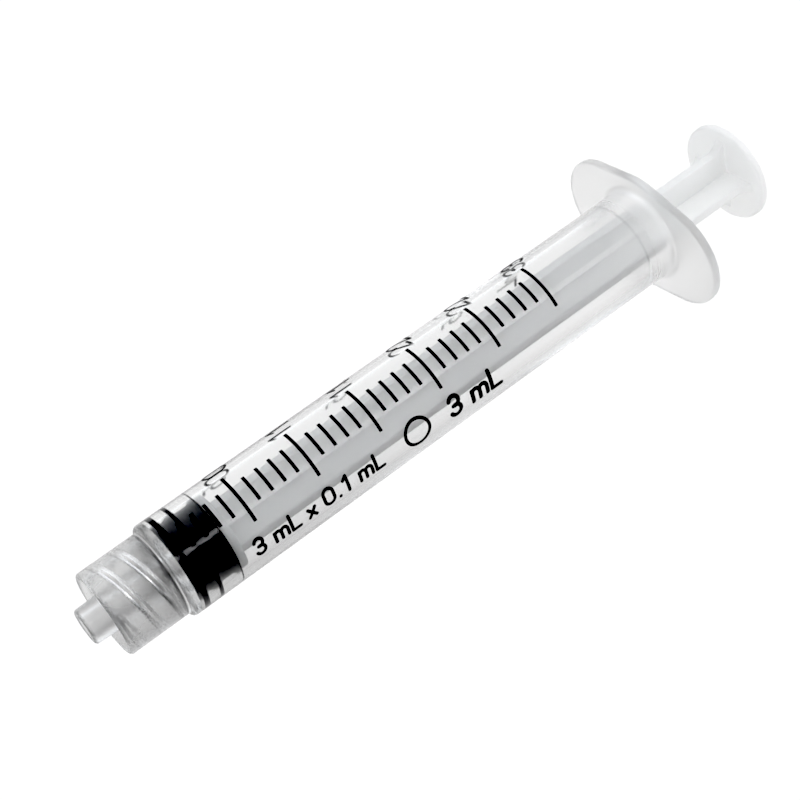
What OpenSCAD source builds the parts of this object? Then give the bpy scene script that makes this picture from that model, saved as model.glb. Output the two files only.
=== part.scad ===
// Small-dose dispensing syringe with a screw-lock tip, lying along X.
// Origin: centre of the tip's open end. +X runs back to the thumb disc,
// the finger wings point along +-Y and the scale faces up, +Z.

/* [Barrel] */
// Bore diameter of the barrel
bore_d = 9.0; // [8.6:0.05:9.6]
// Wall thickness of the barrel
wall = 0.85; // [0.75:0.01:1.05]
// Largest dose on the scale, in millilitres
capacity = 3; // [2:1:3]
// Bore left behind the last line, up to the wings
run_out = 15.6; // [13:0.1:19]
// Radius of the rounded shoulder at the front of the barrel
shoulder_r = 0.55; // [0.4:0.05:0.8]

/* [Lock tip] */
// Outer diameter of the cone at its open end
cone_d = 4.0; // [3.9:0.01:4.1]
// Diameter of the fluid channel
channel_d = 2.1; // [1.6:0.1:2.4]
// How far the cone stands out of the collar
cone_lead = 2.1; // [2.1:0.05:3]
// Depth of the collar
collar_depth = 7.0; // [6:0.1:8]
// Outer diameter of the collar
collar_d = 9.55; // [9.2:0.05:9.9]
// Inner diameter of the collar at the thread root
collar_bore_d = 8.0; // [7.9:0.02:8.1]
// Height of the collar's thread ridge
ridge_h = 0.5; // [0.3:0.05:0.6]

/* [Finger wings] */
// Distance from wing tip to wing tip
wing_span = 22.9; // [20:0.1:26]
// Width of the plate at the barrel
wing_w = 14.7; // [13:0.1:16]
// Width of the rounded wing tips
wing_tip_w = 12.6; // [10:0.1:13.5]
// Thickness of the plate
wing_t = 1.0; // [0.8:0.05:1.6]

/* [Stopper] */
// Gap between the sealing ribs and the bore, on the radius
seal_gap = 0.02; // [0.01:0.005:0.04]
// Length of the rubber stopper behind its front rib
stopper_l = 5.25; // [4.8:0.05:5.8]
// Depth of the grooves between the ribs
groove_h = 0.35; // [0.2:0.05:0.6]

/* [Plunger] */
// Gap between the plunger's head and the rubber, and round its fins
swivel_gap = 0.05; // [0.02:0.01:0.09]
// Width across the crossed fins
fin_w = 7.1; // [6.8:0.1:8]
// Thickness of a fin
fin_t = 1.1; // [0.8:0.05:1.4]
// Length of rod between the wings and the thumb disc when fully pushed in
rod_reach = 11.9; // [10:0.1:16]
// Diameter of the thumb disc
thumb_d = 11.7; // [10.5:0.1:13]
// Thickness of the thumb disc
thumb_t = 1.0; // [0.8:0.05:1.6]

/* [Print] */
// Thickness of the printed ink
ink_t = 0.02; // [0.015:0.005:0.04]
// Stroke width of the printed lines
stroke_w = 0.38; // [0.2:0.02:0.4]
// Height of the scale numbers
digit_h = 2.6; // [2:0.1:3]
// Angle from the top of the barrel to the middle of the scale lines
scale_turn = 19; // [-10:1:30]

/* [Hidden] */
$fn = 96;

bore_r = bore_d / 2;
barrel_r = bore_r + wall;
// One cubic centimetre is a thousand cubic millimetres, so this is the length of 0.1 ml of bore.
dose_step = 100 / (PI * bore_r * bore_r);
minor_per_ml = 10;
major_every = 5;
last_line = capacity * minor_per_ml;

// Stations along X, from the tip to the thumb disc
cone_taper = 0.03;
cone_r = cone_d / 2;
cone_round = 0.35;
channel_r = channel_d / 2;
collar_x = cone_lead;
web_x = collar_x + collar_depth;
web_t = 0.65;
shoulder_x = web_x + 0.1;
bore_cone_l = 0.5;
bore_x = web_x + web_t + bore_cone_l;
zero_x = bore_x + 0.6;
last_x = zero_x + last_line * dose_step;
wing_x = last_x + run_out;
wing_back_x = wing_x + wing_t;
entry_x = wing_x - 3.2;
entry_r = bore_r + 0.25;
edge_r = 0.3;
flank_inset = 0.03;
overlap = 0.2;

// Stopper, from its cone in the front of the bore
rib_r = bore_r - seal_gap;
groove_r = rib_r - groove_h;
front_rib_x = bore_x;
front_rib_l = 1.2;
mid_rib_x = bore_x + 2.1;
mid_rib_l = 0.75;
back_rib_l = 0.3;
stopper_back_x = bore_x + stopper_l;
nose_gap = 0.05;

// Plunger head: a neck and a mushroom held in the stopper, and a disc behind it
neck_r = 1.7;
mushroom_r = 2.4;
mushroom_x = bore_x + 0.9;
mushroom_l = 1.4;
head_x = stopper_back_x + swivel_gap;
head_t = 0.9;
head_r = bore_r - 0.25;
thumb_x = wing_back_x + rod_reach;
thumb_r = thumb_d / 2;
fin_flare = 1.6;

// Lock thread: a two-start ridge, tapered away at both ends
thread_lead = 5;
thread_starts = 2;
ridge_crest = 0.35;
ridge_root = 1.0;
ridge_turns = 1.05;
ridge_steps = 44;
ridge_start_x = collar_x + ridge_root / 2 + 0.35;
ridge_seat_r = collar_bore_d / 2 + 0.12;
ridge_fade = 6;

// Print
minor_arc = 32;
major_arc = 64;
ink_r = barrel_r + ink_t;
digit_turn = scale_turn - 47;
digit_lag = 0.2;
digit_stroke = stroke_w * 0.85;
caption_turn = 78;
caption_h = 1.9;
caption_x = zero_x + 4.1 * dose_step;
caption = "3 mL x 0.1 mL";
word = "3 mL";
word_h = 1.25 * caption_h;
word_stroke = 1.3 * stroke_w;
ring_turn = 77;
ring_d = 3.0;
print_gap = 2.75;

// Turns a profile, drawn as radius along x and station along y, about the X axis.
module spin() {
    rotate([0, 90, 0])
        rotate_extrude()
            children();
}

// A block of profile from radius r0 to r1 and from station x0 to x1.
module band(r0, r1, x0, x1) {
    translate([r0, x0])
        square([r1 - r0, x1 - x0]);
}

// ---------------------------------------------------------------- barrel

module cone_profile() {
    back_r = cone_r + cone_taper * web_x;
    translate([0, cone_round])
        polygon([[0, 0], [cone_r, 0], [back_r, web_x], [back_r, web_x + overlap], [0, web_x + overlap]]);
    band(0, cone_r - cone_round, 0, cone_round);
    translate([cone_r - cone_round, cone_round])
        circle(cone_round, $fn = 48);
}

module collar_profile() {
    rim_r = (collar_d - collar_bore_d) / 4;
    band(collar_bore_d / 2, collar_d / 2, collar_x + rim_r, web_x + overlap);
    translate([(collar_d + collar_bore_d) / 4, collar_x + rim_r])
        circle(rim_r, $fn = 48);
}

module shell_profile() {
    shoulder_end = shoulder_x + shoulder_r;
    band(0, barrel_r - shoulder_r, web_x, shoulder_end);
    band(0, barrel_r - shoulder_r, shoulder_x, shoulder_end);
    translate([barrel_r - shoulder_r, shoulder_end])
        circle(shoulder_r, $fn = 48);
    band(0, barrel_r, shoulder_end, wing_back_x);
    difference() {
        band(0, barrel_r + wall, wing_x - wall, wing_x + wing_t / 2);
        translate([barrel_r + wall, wing_x - wall])
            circle(wall, $fn = 48);
    }
}

module bore_profile() {
    polygon([[0, web_x + web_t], [channel_r, web_x + web_t], [bore_r, bore_x],
             [bore_r, entry_x], [entry_r, entry_x + overlap], [entry_r, wing_back_x - edge_r],
             [entry_r + edge_r, wing_back_x], [entry_r + edge_r, wing_back_x + 1], [0, wing_back_x + 1]]);
    band(0, channel_r, -1, bore_x);
}

// Outline of the wings, wide along y: a hub circle, two tip circles and the flanks that join them.
module wing_outline() {
    hub_r = wing_w / 2;
    tip_r = wing_tip_w / 2;
    tip_y = wing_span / 2 - tip_r;
    lean = asin((hub_r - tip_r) / tip_y);
    flank_hub = (hub_r - flank_inset) * [cos(lean), sin(lean)];
    flank_tip = (tip_r - flank_inset) * [cos(lean), sin(lean)];
    circle(hub_r);
    for (side = [-1, 1]) {
        translate([0, side * tip_y])
            circle(tip_r);
        polygon([[-flank_hub[0], side * flank_hub[1]], [flank_hub[0], side * flank_hub[1]],
                 [flank_tip[0], side * (tip_y + flank_tip[1])], [-flank_tip[0], side * (tip_y + flank_tip[1])]]);
    }
}

module wings() {
    translate([wing_x, 0, 0])
        rotate([0, 90, 0])
            linear_extrude(wing_t)
                wing_outline();
}

// The four corners of a ridge's section, at step k of the ridge that starts at angle a0.
function ridge_ring(a0, k) =
    let (turn = ridge_turns * k / ridge_steps,
         a = a0 + 360 * turn,
         x = ridge_start_x + turn * thread_lead,
         height = min(1, 0.05 + ridge_fade * min(turn, ridge_turns - turn)),
         crest_r = collar_bore_d / 2 - ridge_h * height)
    [for (c = [[ridge_seat_r, -ridge_root / 2], [crest_r, -ridge_crest / 2],
               [crest_r, ridge_crest / 2], [ridge_seat_r, ridge_root / 2]])
        [x + c[1], c[0] * cos(a), c[0] * sin(a)]];

module thread_ridge(a0) {
    points = [for (k = [0 : ridge_steps]) each ridge_ring(a0, k)];
    last = 4 * ridge_steps;
    sides = [for (k = [0 : ridge_steps - 1], j = [0 : 3])
        each let (p = 4 * k + j, q = 4 * k + (j + 1) % 4)
            [[p, q + 4, q], [p, p + 4, q + 4]]];
    polyhedron(points, concat([[0, 1, 2], [0, 2, 3]], sides,
                              [[last, last + 2, last + 1], [last, last + 3, last + 2]]));
}

module barrel() {
    color([0.86, 0.88, 0.88, 0.45]) {
        difference() {
            union() {
                spin() cone_profile();
                spin() collar_profile();
                spin() shell_profile();
                wings();
            }
            spin() bore_profile();
        }
        for (start = [0 : thread_starts - 1])
            thread_ridge(360 * start / thread_starts);
    }
}

// --------------------------------------------------------------- stopper

module stopper_profile() {
    nose_r = channel_r + 0.1;
    polygon([[0, bore_x - bore_cone_l + nose_gap], [nose_r, bore_x - bore_cone_l + nose_gap],
             [rib_r - nose_gap, bore_x + nose_gap], [rib_r, bore_x + 2 * nose_gap],
             [rib_r, front_rib_x + front_rib_l], [groove_r, front_rib_x + front_rib_l + groove_h / 2],
             [groove_r, mid_rib_x - groove_h / 2], [rib_r, mid_rib_x],
             [rib_r, mid_rib_x + mid_rib_l], [groove_r, mid_rib_x + mid_rib_l + groove_h / 2],
             [groove_r, stopper_back_x - back_rib_l - groove_h], [rib_r, stopper_back_x - back_rib_l],
             [rib_r, stopper_back_x], [0, stopper_back_x]]);
}

module stopper_socket_profile() {
    band(0, mushroom_r + swivel_gap, mushroom_x - swivel_gap, mushroom_x + mushroom_l + swivel_gap);
    band(0, neck_r + swivel_gap, mushroom_x, stopper_back_x + 1);
}

module stopper() {
    color([0.03, 0.03, 0.05])
        spin()
            difference() {
                stopper_profile();
                stopper_socket_profile();
            }
}

// ----------------------------------------------------------- plunger rod

module head_profile() {
    band(0, mushroom_r, mushroom_x, mushroom_x + mushroom_l);
    band(0, neck_r, mushroom_x, head_x + overlap);
    band(0, head_r, head_x, head_x + head_t);
}

module thumb_profile() {
    band(0, thumb_r, thumb_x + edge_r, thumb_x + thumb_t - edge_r);
    band(0, thumb_r - edge_r, thumb_x, thumb_x + thumb_t);
    for (x = [thumb_x + edge_r, thumb_x + thumb_t - edge_r])
        translate([thumb_r - edge_r, x])
            circle(edge_r, $fn = 48);
}

// One fin, a flat bar that widens into the thumb disc.
module fin() {
    straight_end = thumb_x - fin_flare;
    translate([0, 0, -fin_t / 2])
        linear_extrude(fin_t)
            polygon([[head_x + head_t - overlap, -fin_w / 2], [straight_end, -fin_w / 2],
                     [thumb_x + overlap, -thumb_r + 2 * edge_r], [thumb_x + overlap, thumb_r - 2 * edge_r],
                     [straight_end, fin_w / 2], [head_x + head_t - overlap, fin_w / 2]]);
}

module plunger_rod() {
    color([0.9, 0.9, 0.9]) {
        spin() head_profile();
        spin() thumb_profile();
        for (turn = [-6, 84])
            rotate([turn, 0, 0])
                fin();
    }
}

// ----------------------------------------------------------------- print

// A thin shell of ink over a drawing, whose x runs along the barrel and y round it.
// The drawing is centred at station x and at angle turn from the top, towards -Y.
module ink_patch(x, turn) {
    intersection() {
        rotate([turn, 0, 0])
            translate([x, 0, 0])
                linear_extrude(ink_r + 1)
                    children();
        rotate([turn, 0, 0])
            translate([x, 0, 0])
                ink_shell();
    }
}

module ink_shell() {
    reach = 14;
    translate([-reach, 0, 0])
        rotate([0, 90, 0])
            difference() {
                cylinder(r = ink_r, h = 2 * reach);
                translate([0, 0, -1])
                    cylinder(r = barrel_r, h = 2 * reach + 2);
            }
}

// One scale line across an arc, as a slice of a thin ring.
module scale_line(x, arc) {
    translate([x - stroke_w / 2, 0, 0])
        rotate([scale_turn, 0, 0])
            rotate([0, 90, 0])
                rotate([0, 0, 180 - arc / 2])
                    rotate_extrude(angle = arc)
                        translate([barrel_r, 0])
                            square([ink_t, stroke_w]);
}

module minor_graduations() {
    color([0.02, 0.02, 0.02])
        for (k = [1 : last_line])
            if (k % major_every != 0)
                scale_line(zero_x + k * dose_step, minor_arc);
}

module major_graduations() {
    color([0.02, 0.02, 0.02])
        for (k = [0 : major_every : last_line])
            scale_line(zero_x + k * dose_step, major_arc);
}

// Strokes of the characters in a cell 0 to 1 high: a list of lines and arcs,
// as ["line", x0, y0, x1, y1] and ["arc", centre x, centre y, radius, start, sweep].
function strokes(c) =
    c == "0" ? [["arc", 0.3, 0.7, 0.3, 0, 180], ["line", 0, 0.7, 0, 0.3],
                ["arc", 0.3, 0.3, 0.3, 180, 180], ["line", 0.6, 0.3, 0.6, 0.7]] :
    c == "1" ? [["line", 0.3, 0, 0.3, 1], ["line", 0.3, 1, 0.08, 0.8]] :
    c == "2" ? [["arc", 0.3, 0.7, 0.3, -25, 195], ["line", 0.57, 0.57, 0, 0], ["line", 0, 0, 0.6, 0]] :
    c == "3" ? [["arc", 0.28, 0.75, 0.25, -90, 250], ["arc", 0.28, 0.27, 0.27, -160, 250],
                ["line", 0.2, 0.52, 0.3, 0.52]] :
    c == "5" ? [["line", 0.56, 1, 0.1, 1], ["line", 0.1, 1, 0.04, 0.5],
                ["arc", 0.29, 0.32, 0.32, -150, 290]] :
    c == "." ? [["line", 0.1, 0, 0.1, 0.02]] :
    c == "m" ? [["line", 0, 0, 0, 0.6], ["arc", 0.2, 0.42, 0.2, 0, 180], ["line", 0.4, 0, 0.4, 0.42],
                ["arc", 0.6, 0.42, 0.2, 0, 180], ["line", 0.8, 0, 0.8, 0.42]] :
    c == "L" ? [["line", 0, 1, 0, 0], ["line", 0, 0, 0.5, 0]] :
    c == "x" ? [["line", 0, 0, 0.45, 0.55], ["line", 0, 0.55, 0.45, 0]] :
    [];

// Advance from one character to the next, in cell heights.
function advance(c) =
    c == "." || c == " " ? 0.4 :
    c == "m" ? 1.06 :
    c == "1" || c == "x" || c == "L" ? 0.7 :
    0.84;

function text_width(s, n) = n <= 0 ? 0 : advance(s[n - 1]) + text_width(s, n - 1);

module stroke_line(p, q, w) {
    d = q - p;
    translate(p)
        rotate(atan2(d[1], d[0]))
            translate([0, -w / 2])
                square([norm(d), w]);
    for (end = [p, q])
        translate(end)
            circle(w / 2, $fn = 24);
}

module stroke_arc(centre, r, start, sweep, w) {
    steps = 8;
    reach = 2 * r + w;
    translate(centre) {
        intersection() {
            difference() {
                circle(r + w / 2, $fn = 48);
                circle(r - w / 2, $fn = 48);
            }
            polygon(concat([[0, 0]], [for (k = [0 : steps])
                reach * [cos(start + sweep * k / steps), sin(start + sweep * k / steps)]]));
        }
        for (a = [start, start + sweep])
            rotate(a)
                translate([r, 0])
                    circle(w / 2, $fn = 24);
    }
}

// One character, h high, with its lower left corner at the drawing's origin.
module character(c, h, w) {
    for (s = strokes(c))
        if (s[0] == "line")
            stroke_line(h * [s[1], s[2]], h * [s[3], s[4]], w);
        else
            stroke_arc(h * [s[1], s[2]], h * s[3], s[4], s[5], w);
}

// A word whose letters stand along the barrel, read round it: each one sits on its own angle.
module word_round(s, x, turn, h) {
    for (n = [0 : len(s) - 1]) {
        along = h * text_width(s, n);
        ink_patch(x, turn - along / barrel_r * 180 / PI)
            rotate(90)
                translate([0, -h / 2])
                    character(s[n], h, digit_stroke);
    }
}

module scale_numerals() {
    labels = ["0.5", "1", "1.5", "2", "2.5", "3mL"];
    color([0.02, 0.02, 0.02])
        for (k = [1 : last_line / major_every])
            word_round(labels[k - 1], zero_x + k * major_every * dose_step + digit_lag, digit_turn, digit_h);
}

// A word that runs along the barrel.
module word_along(s, x, turn, h, w) {
    for (n = [0 : len(s) - 1])
        if (s[n] != " ")
            ink_patch(x + h * text_width(s, n), turn)
                translate([0, -h / 2])
                    character(s[n], h, w);
}

// The ring stands behind the caption, and the larger word behind the ring.
ring_x = caption_x + caption_h * text_width(caption, len(caption)) + print_gap + ring_d / 2;
word_x = ring_x + ring_d / 2 + print_gap;

module capacity_print() {
    color([0.02, 0.02, 0.02]) {
        word_along(caption, caption_x, caption_turn, caption_h, stroke_w);
        word_along(word, word_x, caption_turn, word_h, word_stroke);
    }
}

module ring_print() {
    color([0.02, 0.02, 0.02])
        ink_patch(ring_x, ring_turn)
            difference() {
                circle(ring_d / 2 + stroke_w / 2);
                circle(ring_d / 2 - stroke_w / 2);
            }
}

barrel();
stopper();
plunger_rod();
minor_graduations();
major_graduations();
scale_numerals();
capacity_print();
ring_print();
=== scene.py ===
"""Looks for the small dosing syringe: clear barrel, rubber stopper, milky plunger and printed scale."""

import math

import bpy
from mathutils import Matrix, Vector


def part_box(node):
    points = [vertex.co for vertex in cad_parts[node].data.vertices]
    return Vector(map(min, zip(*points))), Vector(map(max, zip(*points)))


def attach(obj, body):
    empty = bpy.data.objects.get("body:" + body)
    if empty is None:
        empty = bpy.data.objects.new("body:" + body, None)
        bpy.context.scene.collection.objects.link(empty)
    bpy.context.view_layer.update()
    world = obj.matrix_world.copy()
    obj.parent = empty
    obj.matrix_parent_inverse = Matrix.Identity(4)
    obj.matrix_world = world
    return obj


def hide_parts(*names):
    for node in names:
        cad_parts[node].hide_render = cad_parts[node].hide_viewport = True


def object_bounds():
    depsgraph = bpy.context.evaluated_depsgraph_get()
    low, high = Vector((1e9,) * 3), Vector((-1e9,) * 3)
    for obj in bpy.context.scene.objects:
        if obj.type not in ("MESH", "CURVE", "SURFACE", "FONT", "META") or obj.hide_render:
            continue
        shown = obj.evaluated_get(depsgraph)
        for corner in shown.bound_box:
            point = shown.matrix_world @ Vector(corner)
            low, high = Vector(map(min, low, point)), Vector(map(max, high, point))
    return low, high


MM = 0.001
STEPS_ROUND = 160

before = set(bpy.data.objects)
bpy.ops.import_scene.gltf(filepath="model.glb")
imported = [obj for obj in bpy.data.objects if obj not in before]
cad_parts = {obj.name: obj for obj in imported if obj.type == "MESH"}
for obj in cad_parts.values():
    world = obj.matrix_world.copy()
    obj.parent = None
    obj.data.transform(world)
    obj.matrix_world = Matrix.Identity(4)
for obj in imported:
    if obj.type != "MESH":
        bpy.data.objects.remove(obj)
cad_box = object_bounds()

# ------------------------------------------------------------------ sizes, in millimetres

BARREL_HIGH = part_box("barrel")[1] / MM
ROD_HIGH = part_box("plunger_rod")[1] / MM
STOPPER_LOW, STOPPER_HIGH = (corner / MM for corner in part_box("stopper"))
LINES_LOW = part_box("major_graduations")[0] / MM
STROKE_W = 0.38
ZERO_X = LINES_LOW.x + STROKE_W / 2

# Tube
BORE_R = 4.5
BARREL_R = 5.35
BORE_X = 10.25
SHOULDER_X = 9.2
SHOULDER_R = 0.55
SHOULDER_FOOT = 0.06

# Male cone and its channel
CHANNEL_R = 1.05
CHANNEL_ROUND = 0.15
CONE_R = 2.0
CONE_TAPER = 0.03
CONE_ROUND = 0.35

# Lock collar, its floor and its thread
COLLAR_X = 2.1
COLLAR_BORE_R = 4.0
COLLAR_R = 4.775
COLLAR_RIM_R = (COLLAR_R - COLLAR_BORE_R) / 2
WEB_X = 9.1
WEB_BACK_X = 9.75
WEB_ROUND = 0.25
THREAD_LEAD = 5.0
THREAD_STARTS = 2
RIDGE_H = 0.5
RIDGE_CREST = 0.35
RIDGE_ROOT = 1.0
RIDGE_START = 1.1
RIDGE_FADE = 0.4
RIDGE_FRONT_GAP = 0.45
RIDGE_BACK_GAP = 0.5

# Finger wings and the bore's flared mouth
WING_T = 1.0
WING_BACK_X = BARREL_HIGH.x
WING_X = WING_BACK_X - WING_T
WING_HUB_R = 7.35
WING_TIP_R = 6.3
WING_TIP_Y = BARREL_HIGH.y - WING_TIP_R
WING_EDGE_R = 0.3
ENTRY_X = WING_X - 3.2
ENTRY_R = BORE_R + 0.25
ENTRY_ROUND = 0.3
ENTRY_STEP = 0.2

# Stopper
RIB_PRESS = 0.012
RIB_ROUND = 0.25
GROOVE_DEPTH = 0.37
GROOVE_ROUND = 0.3
LIP_ROUND = 0.15
MID_RIB_X = BORE_X + 2.1

# Plunger rod
FIN_HALF = 3.55
FIN_T = 1.1
FIN_FLARE = 1.6
FLARE_STEPS = 6
FIN_EDGE = 0.15
FIN_TURN = -6.0
FIN_IN_HEAD = 0.2
FIN_IN_THUMB = 0.3
HEAD_R = BORE_R - 0.25
HEAD_T = 0.9
HEAD_X = STOPPER_HIGH.x + 0.05
HEAD_EDGE = 0.12
THUMB_T = 1.0
THUMB_R = ROD_HIGH.y
THUMB_X = ROD_HIGH.x - THUMB_T
THUMB_EDGE = 0.3
THUMB_MARGIN = 0.9

# Studio directions, and the camera's place and aim in millimetres from the scale's zero
BRIGHT_SIDE = (0.4, 0.65, 0.65)
NEAR_SIDE = (0.3, 1.2, 0.0)
FLOOR_GAP = 0.1
CAMERA_PLACE = (-28.22, -106.65, 133.60)
CAMERA_AIM = (28.84, 0.26, 0.21)
CAMERA_TURN = 35.4
CAMERA_LENS = 78.0


# ------------------------------------------------------------------ modelling helpers

def deselect_all():
    bpy.ops.object.select_all(action="DESELECT")


def make_active(obj):
    deselect_all()
    obj.select_set(True)
    bpy.context.view_layer.objects.active = obj


def arc(centre_x, centre_r, radius, start, end, steps):
    """Profile points (x, r) on an arc; 0 degrees points along +x and 90 degrees points outward."""
    turns = (start + (end - start) * k / steps for k in range(steps + 1))
    return [(centre_x + radius * math.cos(math.radians(a)), centre_r + radius * math.sin(math.radians(a)))
            for a in turns]


def run(start, end, steps):
    """Evenly spaced profile points from start towards end, without the end itself."""
    return [(start[0] + (end[0] - start[0]) * k / steps, start[1] + (end[1] - start[1]) * k / steps)
            for k in range(steps)]


def draw_profile(name, points):
    """A chain of edges through profile points (x, r), in the plane y = 0 above the axis."""
    first = points[0]
    bpy.ops.mesh.primitive_plane_add(size=MM, location=(first[0] * MM, 0, first[1] * MM))
    obj = bpy.context.active_object
    obj.name = name
    bpy.ops.object.transform_apply(location=True, rotation=True, scale=True)
    bpy.ops.object.mode_set(mode="EDIT")
    bpy.ops.mesh.select_mode(type="VERT")
    bpy.ops.mesh.select_all(action="SELECT")
    bpy.ops.mesh.merge(type="CENTER")
    for before, after in zip(points, points[1:]):
        step = ((after[0] - before[0]) * MM, 0, (after[1] - before[1]) * MM)
        bpy.ops.mesh.extrude_region_move(TRANSFORM_OT_translate={"value": step})
    return obj


def turned(name, points, steps=STEPS_ROUND):
    """A closed solid turned about the X axis from a closed profile."""
    deselect_all()
    obj = draw_profile(name, points)
    bpy.ops.mesh.select_all(action="SELECT")
    bpy.ops.mesh.spin(steps=steps, angle=2 * math.pi, center=(0, 0, 0), axis=(1, 0, 0))
    bpy.ops.mesh.select_all(action="SELECT")
    bpy.ops.mesh.remove_doubles(threshold=1e-7)
    bpy.ops.mesh.normals_make_consistent(inside=False)
    bpy.ops.object.mode_set(mode="OBJECT")
    return obj


def smooth_by_angle(obj, degrees):
    make_active(obj)
    bpy.ops.object.shade_smooth_by_angle(angle=math.radians(degrees))


def apply_modifier(obj, modifier):
    make_active(obj)
    bpy.ops.object.modifier_apply(modifier=modifier.name)


# ------------------------------------------------------------------ barrel

def barrel_profile():
    """Section of the whole moulding, from the channel round the outside and back down the bore."""
    cone_back_r = CONE_R + CONE_TAPER * (WEB_X - WEB_ROUND)
    rim_x = COLLAR_X + COLLAR_RIM_R
    shoulder_end = SHOULDER_X + SHOULDER_R
    root_r = BARREL_R - BORE_R
    outer = BARREL_R + root_r
    points = [(WEB_BACK_X, CHANNEL_R)]
    points += arc(CHANNEL_ROUND, CHANNEL_R + CHANNEL_ROUND, CHANNEL_ROUND, 270, 180, 4)
    points += arc(CONE_ROUND, CONE_R - CONE_ROUND, CONE_ROUND, 180, 90, 10)
    points += arc(WEB_X - WEB_ROUND, cone_back_r + WEB_ROUND, WEB_ROUND, 270, 360, 5)
    points += arc(WEB_X - WEB_ROUND, COLLAR_BORE_R - WEB_ROUND, WEB_ROUND, 0, 90, 5)
    points += run((WEB_X - WEB_ROUND - 0.05, COLLAR_BORE_R), (rim_x, COLLAR_BORE_R), 64)
    points += arc(rim_x, COLLAR_BORE_R + COLLAR_RIM_R, COLLAR_RIM_R, 270, 90, 14)
    points += [(SHOULDER_X - SHOULDER_FOOT, COLLAR_R)]
    points += arc(shoulder_end, BARREL_R - SHOULDER_R, SHOULDER_R, 176, 90, 10)
    points += [(WING_X - root_r, BARREL_R)]
    points += arc(WING_X - root_r, outer, root_r, 270, 360, 8)[1:]
    points += run((WING_X, outer + 0.1), (WING_X, WING_HUB_R - WING_EDGE_R), 8)
    points += arc(WING_X + WING_EDGE_R, WING_HUB_R - WING_EDGE_R, WING_EDGE_R, 180, 90, 6)
    points += arc(WING_BACK_X - WING_EDGE_R, WING_HUB_R - WING_EDGE_R, WING_EDGE_R, 90, 0, 6)
    points += run((WING_BACK_X, WING_HUB_R - WING_EDGE_R - 0.1), (WING_BACK_X, ENTRY_R + ENTRY_ROUND), 8)
    points += arc(WING_BACK_X - ENTRY_ROUND, ENTRY_R + ENTRY_ROUND, ENTRY_ROUND, 0, -90, 4)[1:]
    points += [(ENTRY_X + ENTRY_STEP, ENTRY_R), (ENTRY_X, BORE_R), (BORE_X, BORE_R), points[0]]
    return points


def wing_reach(turn):
    """Distance from the axis to the wings' outline, at an angle from +-Y."""
    turn = abs((turn + math.pi / 2) % math.pi - math.pi / 2)
    lean = math.asin((WING_HUB_R - WING_TIP_R) / WING_TIP_Y)
    tip_end = math.atan2(WING_TIP_R * math.cos(lean), WING_TIP_Y + WING_TIP_R * math.sin(lean))
    if turn < tip_end:
        off_axis = WING_TIP_Y * math.sin(turn)
        return WING_TIP_Y * math.cos(turn) + math.sqrt(WING_TIP_R ** 2 - off_axis ** 2)
    if turn < math.pi / 2 - lean:
        return WING_HUB_R / (math.cos(turn) * math.sin(lean) + math.sin(turn) * math.cos(lean))
    return WING_HUB_R


def spread_wings(obj):
    """Pulls the turned flange out to the wings' outline, and leaves its root round."""
    root_r = 2 * BARREL_R - BORE_R
    for v in obj.data.vertices:
        x, y, z = v.co / MM
        r = math.hypot(y, z)
        if x < WING_X - 0.01 or r <= root_r:
            continue
        share = min(1.0, (r - root_r) / (WING_HUB_R - WING_EDGE_R - root_r))
        out = r + share * (wing_reach(math.atan2(z, y)) - WING_HUB_R)
        v.co = Vector((x, y * out / r, z * out / r)) * MM


def ridge_height(x, turn):
    """Height of the collar's thread ridge over its root at a station and an angle."""
    pitch = THREAD_LEAD / THREAD_STARTS
    along = (x - COLLAR_X - RIDGE_START - THREAD_LEAD * turn / (2 * math.pi)) % pitch
    off = min(along, pitch - along)
    flank = (RIDGE_ROOT - RIDGE_CREST) / 2
    height = min(1.0, max(0.0, (RIDGE_ROOT / 2 - off) / flank))
    lead_in = min(1.0, max(0.0, (x - COLLAR_X - RIDGE_FRONT_GAP) / RIDGE_FADE))
    run_out = min(1.0, max(0.0, (WEB_X - RIDGE_BACK_GAP - x) / RIDGE_FADE))
    return RIDGE_H * height * lead_in * run_out


def cut_thread(obj):
    """Raises the two-start ridge on the collar's bore."""
    for v in obj.data.vertices:
        x, y, z = v.co / MM
        r = math.hypot(y, z)
        if abs(r - COLLAR_BORE_R) < 1e-3 and COLLAR_X + COLLAR_RIM_R < x < WEB_X:
            inner = r - ridge_height(x, math.atan2(z, y))
            v.co = Vector((x, y * inner / r, z * inner / r)) * MM


def make_barrel():
    obj = turned("clear_barrel", barrel_profile(), steps=192)
    spread_wings(obj)
    cut_thread(obj)
    smooth_by_angle(obj, 40)
    return obj


# ------------------------------------------------------------------ stopper

def stopper_profile():
    """Section of the rubber: two sealing ribs and a back lip, pressed a hair into the bore."""
    rib_r = BORE_R + RIB_PRESS
    groove_r = BORE_R - GROOVE_DEPTH
    back_x = STOPPER_HIGH.x
    nose_x = STOPPER_LOW.x
    points = [(nose_x, 0.0), (nose_x, CHANNEL_R + 0.1)]
    points += arc(BORE_X + 0.45, rib_r - RIB_ROUND, RIB_ROUND, 150, 90, 5)
    points += arc(BORE_X + 0.95, rib_r - RIB_ROUND, RIB_ROUND, 90, 20, 5)
    points += arc(BORE_X + 1.55, groove_r + GROOVE_ROUND, GROOVE_ROUND, 250, 290, 4)
    points += arc(MID_RIB_X + 0.25, rib_r - RIB_ROUND, RIB_ROUND, 160, 90, 5)
    points += arc(MID_RIB_X + 0.55, rib_r - RIB_ROUND, RIB_ROUND, 90, 20, 5)
    points += [(MID_RIB_X + 1.1, groove_r), (back_x - 0.7, groove_r)]
    points += arc(back_x - 0.17, rib_r - LIP_ROUND, LIP_ROUND, 160, 90, 4)
    points += arc(back_x - 0.15, rib_r - LIP_ROUND, LIP_ROUND, 90, 0, 4)
    points += [(back_x, 0.0)]
    return points


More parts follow.
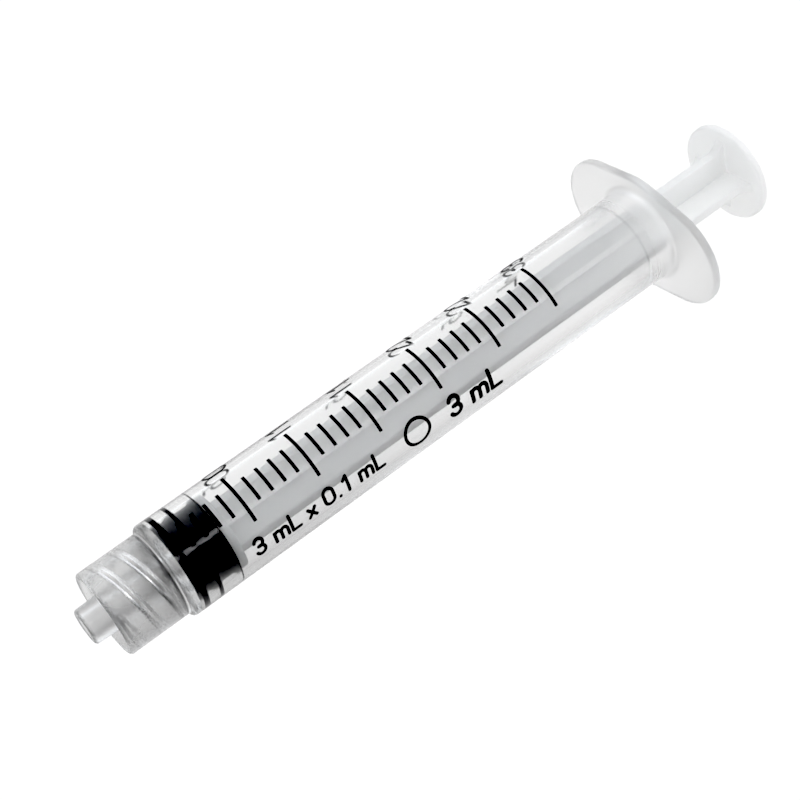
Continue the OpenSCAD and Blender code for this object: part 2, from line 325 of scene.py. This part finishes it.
def make_stopper():
    obj = turned("rubber_stopper", stopper_profile(), steps=128)
    smooth_by_angle(obj, 50)
    return obj


# ------------------------------------------------------------------ plunger

def soften(obj, width, segments=3, angle=30):
    """Rounds the sharp edges with a bevel of a width in millimetres."""
    bevel = obj.modifiers.new("bevel", "BEVEL")
    bevel.width = width * MM
    bevel.segments = segments
    bevel.limit_method = "ANGLE"
    bevel.angle_limit = math.radians(angle)
    apply_modifier(obj, bevel)


def make_disc(name, x, thickness, radius, edge):
    points = [(x, 0.0), (x, radius * 0.5)]
    points += arc(x + edge, radius - edge, edge, 180, 90, 6)
    points += arc(x + thickness - edge, radius - edge, edge, 90, 0, 6)
    points += [(x + thickness, radius * 0.5), (x + thickness, 0.0)]
    return turned(name, points, steps=128)


def make_fin(turn):
    """One flat bar across the rod, from the head disc into the thumb disc."""
    start = HEAD_X + HEAD_T - FIN_IN_HEAD
    end = THUMB_X + FIN_IN_THUMB
    flare_x = THUMB_X - FIN_FLARE
    deselect_all()
    bpy.ops.mesh.primitive_cube_add(size=MM, location=((start + flare_x) / 2 * MM, 0, 0),
                                    scale=(flare_x - start, 2 * FIN_HALF, FIN_T))
    obj = bpy.context.active_object
    bpy.ops.object.transform_apply(location=True, rotation=True, scale=True)
    bpy.ops.object.mode_set(mode="EDIT")
    bpy.ops.mesh.select_mode(type="FACE")
    bpy.ops.mesh.select_all(action="DESELECT")
    bpy.ops.object.mode_set(mode="OBJECT")
    for face in obj.data.polygons:
        face.select = face.normal.x > 0.9
    bpy.ops.object.mode_set(mode="EDIT")
    spread = (THUMB_R - THUMB_MARGIN) / FIN_HALF
    for k in range(1, FLARE_STEPS + 1):
        before = 1 + (spread - 1) * ((k - 1) / FLARE_STEPS) ** 2
        now = 1 + (spread - 1) * (k / FLARE_STEPS) ** 2
        bpy.ops.mesh.extrude_region_move(
            TRANSFORM_OT_translate={"value": ((end - flare_x) / FLARE_STEPS * MM, 0, 0)})
        bpy.ops.transform.resize(value=(1, now / before, 1))
    bpy.ops.object.mode_set(mode="OBJECT")
    soften(obj, FIN_EDGE)
    obj.rotation_euler = (math.radians(turn), 0, 0)
    bpy.ops.object.transform_apply(location=True, rotation=True, scale=True)
    return obj


def join_solids(base, others):
    """One closed solid out of overlapping ones."""
    for other in others:
        union = base.modifiers.new("union", "BOOLEAN")
        union.operation = "UNION"
        union.solver = "EXACT"
        union.object = other
        apply_modifier(base, union)
        bpy.data.objects.remove(other)
    return base


def make_plunger():
    cross = join_solids(make_fin(FIN_TURN), [make_fin(FIN_TURN + 90)])
    thumb = make_disc("thumb_disc", THUMB_X, THUMB_T, THUMB_R, THUMB_EDGE)
    head = make_disc("head_disc", HEAD_X, HEAD_T, HEAD_R, HEAD_EDGE)
    rod = join_solids(thumb, [cross, head])
    rod.name = "milky_plunger"
    smooth_by_angle(rod, 35)
    return rod


# ------------------------------------------------------------------ materials

def new_material(name):
    material = bpy.data.materials.new(name)
    material.use_nodes = True
    nodes = material.node_tree.nodes
    return material, nodes, material.node_tree.links, nodes["Principled BSDF"]


def object_noise(nodes, links, scale, detail=2.0, stretch=(1, 1, 1)):
    """Noise fixed to the object, in a scale of cells per metre."""
    place = nodes.new("ShaderNodeTexCoord")
    mapping = nodes.new("ShaderNodeMapping")
    mapping.inputs["Scale"].default_value = stretch
    noise = nodes.new("ShaderNodeTexNoise")
    noise.inputs["Scale"].default_value = scale
    noise.inputs["Detail"].default_value = detail
    links.new(place.outputs["Object"], mapping.inputs["Vector"])
    links.new(mapping.outputs["Vector"], noise.inputs["Vector"])
    return noise


def ranged(nodes, links, source, low, high):
    """Maps a 0 to 1 pattern onto low to high."""
    scale = nodes.new("ShaderNodeMapRange")
    scale.inputs["To Min"].default_value = low
    scale.inputs["To Max"].default_value = high
    links.new(source, scale.inputs["Value"])
    return scale.outputs["Result"]


def add_bump(nodes, links, shader, source, strength, distance_mm):
    bump = nodes.new("ShaderNodeBump")
    bump.inputs["Strength"].default_value = strength
    bump.inputs["Distance"].default_value = distance_mm * MM
    links.new(source, bump.inputs["Height"])
    links.new(bump.outputs["Normal"], shader.inputs["Normal"])


def station_ramp(nodes, links, stops):
    """A value that depends on the station along X; stops are (station in mm, value)."""
    place = nodes.new("ShaderNodeTexCoord")
    split = nodes.new("ShaderNodeSeparateXYZ")
    links.new(place.outputs["Object"], split.inputs["Vector"])
    span = nodes.new("ShaderNodeMapRange")
    low, high = stops[0][0], stops[-1][0]
    span.inputs["From Min"].default_value = low * MM
    span.inputs["From Max"].default_value = high * MM
    links.new(split.outputs["X"], span.inputs["Value"])
    ramp = nodes.new("ShaderNodeValToRGB")
    elements = ramp.color_ramp.elements
    while len(elements) < len(stops):
        elements.new(0.5)
    for element, (station, value) in zip(elements, stops):
        element.position = (station - low) / (high - low)
        element.color = (value, value, value, 1)
    links.new(span.outputs["Result"], ramp.inputs["Fac"])
    return ramp.outputs["Color"]


def add_values(nodes, links, first, second):
    total = nodes.new("ShaderNodeMath")
    total.operation = "ADD"
    links.new(first, total.inputs[0])
    links.new(second, total.inputs[1])
    return total.outputs["Value"]


def clear_plastic():
    """Polypropylene: polished over the scale, softer on the collar, matt on the wings; its base colour is a
    near-clear tone with painted shade greying the collar and darkening its floor.
    """
    material, nodes, links, shader = new_material("clear_plastic")
    # Base colour by station: the plastic's own near-clear tone on the tube and wings, and painted shade on
    # the collar, darkest at its floor near 9 mm.
    tint_and_painted_shade_stops = [(0, 0.95), (6, 0.92), (8, 0.85), (9, 0.6), (10.5, 0.975),
                  (70, 0.975), (73, 0.985), (75, 0.985)]
    tint = station_ramp(nodes, links, tint_and_painted_shade_stops)
    links.new(tint, shader.inputs["Base Color"])
    shader.inputs["Transmission Weight"].default_value = 1.0
    shader.inputs["IOR"].default_value = 1.49
    shader.inputs["Specular Tint"].default_value = (0.4, 0.4, 0.4, 1)
    polish_stops = [(0, 0.28), (9, 0.26), (10.5, 0.09), (66, 0.09), (72.5, 0.3), (75, 0.34)]
    polish = station_ramp(nodes, links, polish_stops)
    haze = object_noise(nodes, links, 260, 3, (0.25, 1, 1))
    uneven = ranged(nodes, links, haze.outputs["Fac"], -0.02, 0.02)
    links.new(add_values(nodes, links, polish, uneven), shader.inputs["Roughness"])
    ripple = object_noise(nodes, links, 420, 2, (0.2, 1, 1))
    add_bump(nodes, links, shader, ripple.outputs["Fac"], 0.04, 0.02)
    return material


def milky_plastic():
    """Translucent white plastic that light soaks into."""
    material, nodes, links, shader = new_material("milky_plastic")
    shader.inputs["Base Color"].default_value = (0.94, 0.94, 0.935, 1)
    shader.inputs["Transmission Weight"].default_value = 0.3
    shader.inputs["Subsurface Weight"].default_value = 1.0
    shader.inputs["Subsurface Radius"].default_value = (1, 1, 1)
    shader.inputs["Subsurface Scale"].default_value = 3 * MM
    shader.inputs["IOR"].default_value = 1.49
    haze = object_noise(nodes, links, 300, 3, (0.25, 1, 1))
    links.new(ranged(nodes, links, haze.outputs["Fac"], 0.4, 0.55), shader.inputs["Roughness"])
    ripple = object_noise(nodes, links, 500, 2, (0.3, 1, 1))
    add_bump(nodes, links, shader, ripple.outputs["Fac"], 0.15, 0.02)
    return material


def black_rubber():
    """Smooth lubricated rubber with a fine grain."""
    material, nodes, links, shader = new_material("black_rubber")
    shader.inputs["Base Color"].default_value = (0.003, 0.003, 0.006, 1)
    shader.inputs["Specular IOR Level"].default_value = 0.15
    grain = object_noise(nodes, links, 900, 4)
    links.new(ranged(nodes, links, grain.outputs["Fac"], 0.12, 0.28), shader.inputs["Roughness"])
    add_bump(nodes, links, shader, grain.outputs["Fac"], 0.1, 0.02)
    return material


def black_ink():
    """Matt printed ink with a faint mottle."""
    material, nodes, links, shader = new_material("black_ink")
    grain = object_noise(nodes, links, 2500, 4)
    tint = nodes.new("ShaderNodeValToRGB")
    tint.color_ramp.elements[0].color = (0.001, 0.001, 0.001, 1)
    tint.color_ramp.elements[1].color = (0.006, 0.006, 0.007, 1)
    links.new(grain.outputs["Fac"], tint.inputs["Fac"])
    links.new(tint.outputs["Color"], shader.inputs["Base Color"])
    shader.inputs["Specular IOR Level"].default_value = 0.15
    links.new(ranged(nodes, links, grain.outputs["Fac"], 0.4, 0.6), shader.inputs["Roughness"])
    return material


def set_material(obj, material):
    obj.data.materials.clear()
    obj.data.materials.append(material)


# ------------------------------------------------------------------ the object

clear = clear_plastic()
milky = milky_plastic()
rubber = black_rubber()
ink = black_ink()

barrel = make_barrel()
set_material(barrel, clear)
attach(barrel, "barrel")
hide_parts("barrel")

stopper = make_stopper()
set_material(stopper, rubber)
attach(stopper, "stopper")
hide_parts("stopper")

plunger = make_plunger()
set_material(plunger, milky)
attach(plunger, "plunger")
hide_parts("plunger_rod")

for node in ("minor_graduations", "major_graduations", "scale_numerals", "capacity_print", "ring_print"):
    set_material(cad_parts[node], ink)


# ------------------------------------------------------------------ studio

def glowing(name, colour, strength):
    """A material that only gives off light."""
    material = bpy.data.materials.new(name)
    material.use_nodes = True
    nodes = material.node_tree.nodes
    nodes.clear()
    output = nodes.new("ShaderNodeOutputMaterial")
    glow = nodes.new("ShaderNodeEmission")
    glow.inputs["Color"].default_value = (*colour, 1)
    glow.inputs["Strength"].default_value = strength
    material.node_tree.links.new(glow.outputs["Emission"], output.inputs["Surface"])
    return material


def seen_as(nodes, links, direct, mirrored, through_gain):
    """A glow's strength: seen directly, only mirrored, or with a gain where clear plastic is passed."""
    path = nodes.new("ShaderNodeLightPath")
    glossy_only = nodes.new("ShaderNodeMath")
    glossy_only.operation = "SUBTRACT"
    glossy_only.use_clamp = True
    links.new(path.outputs["Is Glossy Ray"], glossy_only.inputs[0])
    links.new(path.outputs["Is Transmission Ray"], glossy_only.inputs[1])
    level = ranged(nodes, links, glossy_only.outputs["Value"], direct, mirrored)
    change = nodes.new("ShaderNodeMath")
    change.operation = "MULTIPLY_ADD"
    links.new(path.outputs["Is Transmission Ray"], change.inputs[0])
    links.new(through_gain, change.inputs[1])
    links.new(level, change.inputs[2])
    return change.outputs["Value"]


def along_direction(nodes, links, coordinates, direction, span, levels):
    """A level that changes along a direction, from levels[0] at span[0] to levels[1] at span[1]."""
    place = nodes.new("ShaderNodeTexCoord")
    towards = nodes.new("ShaderNodeVectorMath")
    towards.operation = "DOT_PRODUCT"
    towards.inputs[1].default_value = direction
    links.new(place.outputs[coordinates], towards.inputs[0])
    sides = nodes.new("ShaderNodeMapRange")
    sides.inputs["From Min"].default_value, sides.inputs["From Max"].default_value = span
    sides.inputs["To Min"].default_value, sides.inputs["To Max"].default_value = levels
    links.new(towards.outputs["Value"], sides.inputs["Value"])
    return sides.outputs["Result"]


def floor_white():
    """A pale glowing floor, a little dimmer where mirrored and darker through clear plastic."""
    material = glowing("floor_white", (1, 1, 1), 1.0)
    nodes, links = material.node_tree.nodes, material.node_tree.links
    gain = along_direction(nodes, links, "Object", NEAR_SIDE, (-0.02, 0.02), (-0.8, -0.14))
    links.new(seen_as(nodes, links, 1.06, 1.0, gain), nodes["Emission"].inputs["Strength"])
    return material


def make_floor():
    deselect_all()
    lowest = min(cad_box[0][2], -WING_HUB_R * MM)
    bpy.ops.mesh.primitive_plane_add(size=1.6, location=(0, 0, lowest - FLOOR_GAP * MM))
    floor = bpy.context.active_object
    floor.name = "floor"
    set_material(floor, floor_white())


def add_softbox(name, centre, size, brightness):
    """A softbox that faces the middle of the syringe, long side along X."""
    light = bpy.data.lights.new(name, "AREA")
    light.shape = "RECTANGLE"
    light.size, light.size_y = size
    light.energy = brightness * math.pi * size[0] * size[1]
    lamp = bpy.data.objects.new(name, light)
    bpy.context.scene.collection.objects.link(lamp)
    aim = (Vector((0.04, 0, 0)) - Vector(centre)).normalized()
    side = Vector((1, 0, 0))
    side = (side - aim * side.dot(aim)).normalized()
    up = aim.cross(side)
    lamp.matrix_world = Matrix((
        (side.x, -up.x, -aim.x, centre[0]),
        (side.y, -up.y, -aim.y, centre[1]),
        (side.z, -up.z, -aim.z, centre[2]),
        (0, 0, 0, 1)))
    return lamp


def make_world():
    """A studio brighter above and behind the syringe than by its tip, and evenly pale seen directly."""
    world = bpy.data.worlds.new("studio")
    bpy.context.scene.world = world
    world.use_nodes = True
    nodes, links = world.node_tree.nodes, world.node_tree.links
    background = nodes["Background"]
    background.inputs["Color"].default_value = (0.95, 0.975, 1.0, 1)
    gain = nodes.new("ShaderNodeValue")
    gain.outputs["Value"].default_value = 0.5
    level = seen_as(nodes, links, 1.0, 0.35, gain.outputs["Value"])
    sides = along_direction(nodes, links, "Generated", BRIGHT_SIDE, (-0.4, 0.6), (0.4, 1.0))
    product = nodes.new("ShaderNodeMath")
    product.operation = "MULTIPLY"
    links.new(level, product.inputs[0])
    links.new(sides, product.inputs[1])
    path = nodes.new("ShaderNodeLightPath")
    shown = nodes.new("ShaderNodeMix")
    shown.inputs["B"].default_value = 1.0
    links.new(path.outputs["Is Camera Ray"], shown.inputs["Factor"])
    links.new(product.outputs["Value"], shown.inputs["A"])
    links.new(shown.outputs["Result"], background.inputs["Strength"])


def make_camera():
    camera = bpy.data.objects.new("camera", bpy.data.cameras.new("camera"))
    bpy.context.scene.collection.objects.link(camera)
    camera.data.sensor_width = 36
    camera.data.lens = CAMERA_LENS
    camera.data.clip_start = 0.01
    zero = Vector((ZERO_X, 0, 0))
    place = (zero + Vector(CAMERA_PLACE)) * MM
    target = (zero + Vector(CAMERA_AIM)) * MM
    forward = (target - place).normalized()
    along = (Vector((1, 0, 0)) - forward * forward.x).normalized()
    turn = math.radians(CAMERA_TURN)
    across = forward.cross(along)
    right = along * math.cos(turn) + across * math.sin(turn)
    up = right.cross(forward)
    camera.matrix_world = Matrix((
        (right.x, up.x, -forward.x, place.x),
        (right.y, up.y, -forward.y, place.y),
        (right.z, up.z, -forward.z, place.z),
        (0, 0, 0, 1)))
    bpy.context.scene.camera = camera


make_floor()
make_world()
add_softbox("streak_light", (0.10, -0.089, 0.145), (0.24, 0.036), 4)
add_softbox("front_softbox", (-0.26, -0.16, 0.26), (0.22, 0.22), 1.6)
add_softbox("back_softbox", (0.42, 0.10, 0.24), (0.22, 0.22), 1.6)
make_camera()

scene = bpy.context.scene
scene.view_settings.view_transform = "Standard"
scene.view_settings.use_curve_mapping = True
scene.view_settings.curve_mapping.black_level = (0.05, 0.05, 0.05)
scene.cycles.use_denoising = True
scene.cycles.sample_clamp_indirect = 30
scene.cycles.max_bounces = 32
scene.cycles.transmission_bounces = 32
scene.cycles.glossy_bounces = 32
scene.cycles.diffuse_bounces = 16
scene.cycles.transparent_max_bounces = 16
